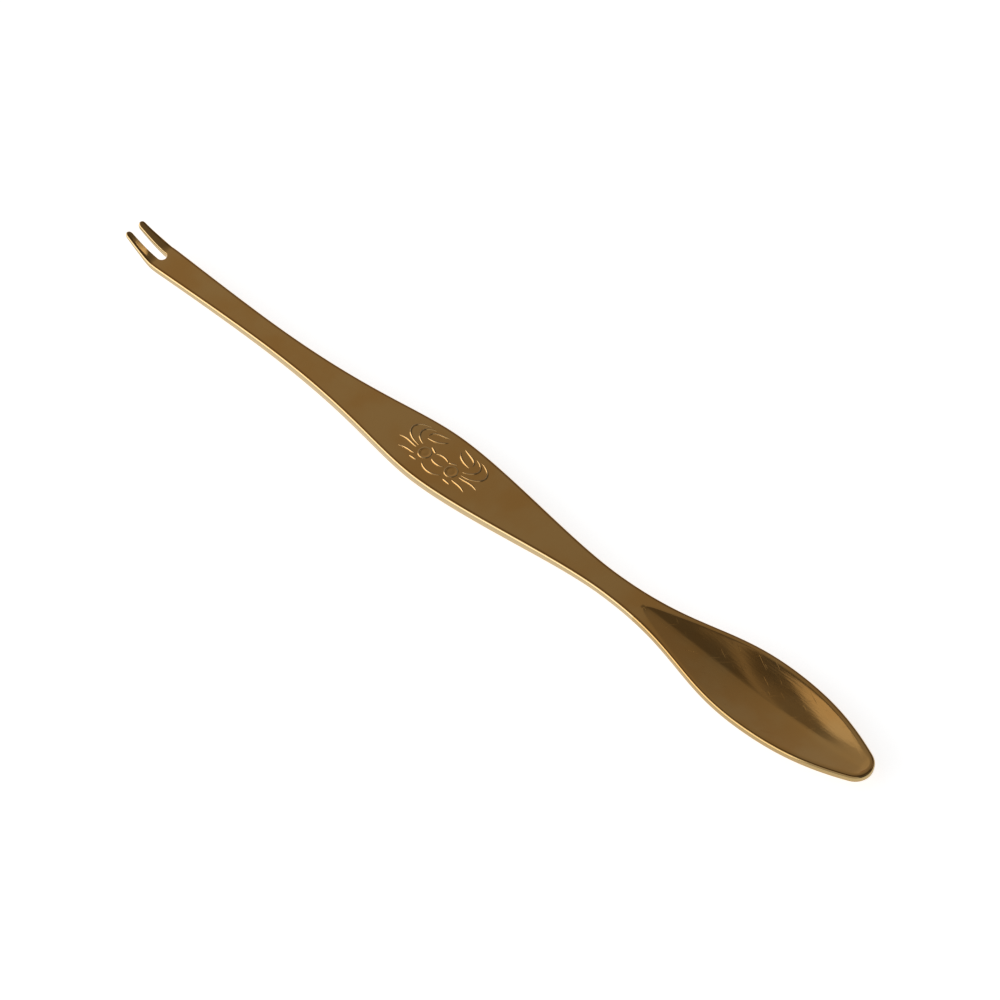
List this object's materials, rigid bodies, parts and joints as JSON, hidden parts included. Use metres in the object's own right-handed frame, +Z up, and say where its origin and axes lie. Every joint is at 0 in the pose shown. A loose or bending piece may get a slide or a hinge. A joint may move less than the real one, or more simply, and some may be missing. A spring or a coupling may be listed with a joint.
{
  "type": "crab fork",
  "caption": "Slim metal crab fork with a tined end, a leaf-shaped handle with a raised crab line figure, and a small pointed spoon at the other end.",
  "frame": {"origin": "middle of the fork's bounding box seen from above, on the surface that the spoon's bowl touches", "axes": "+X along the fork from the tines to the spoon, +Y across it towards the crab's claws, +Z up out of the spoon's hollow; the handle's upper side is level"},
  "size_m": [0.2, 0.0174, 0.0071],
  "materials": {
    "metal": "satin polished"
  },
  "bodies": {
    "root": {"left_tine": "metal", "right_tine": "metal", "fork_shank": "metal", "handle": "metal", "crab_emblem": "metal", "spoon_neck": "metal", "spoon_bowl": "metal"}
  },
  "joints": []
}
